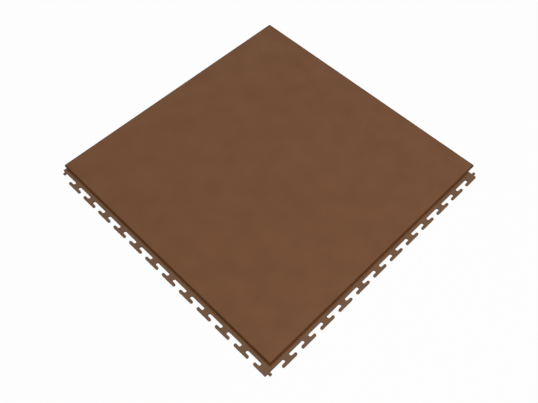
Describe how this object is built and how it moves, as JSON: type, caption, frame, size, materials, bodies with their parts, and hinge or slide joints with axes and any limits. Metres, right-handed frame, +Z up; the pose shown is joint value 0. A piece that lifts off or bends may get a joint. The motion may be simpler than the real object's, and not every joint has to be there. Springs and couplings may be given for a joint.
{
  "type": "interlocking pvc floor tile",
  "caption": "Square moulded PVC floor tile with a hidden interlock: T-shaped lugs along two sides, an overhang with matching sockets along the other two.",
  "frame": {"origin": "centre of the square top plate, on the plane of the underside", "axes": "+Z up out of the walking surface; the lug rows are on the sides that face -X and -Y"},
  "size_m": [0.5377, 0.5377, 0.005],
  "materials": {
    "brown_pvc": "satin"
  },
  "bodies": {
    "root": {"floor_tile": "brown_pvc"}
  },
  "joints": []
}
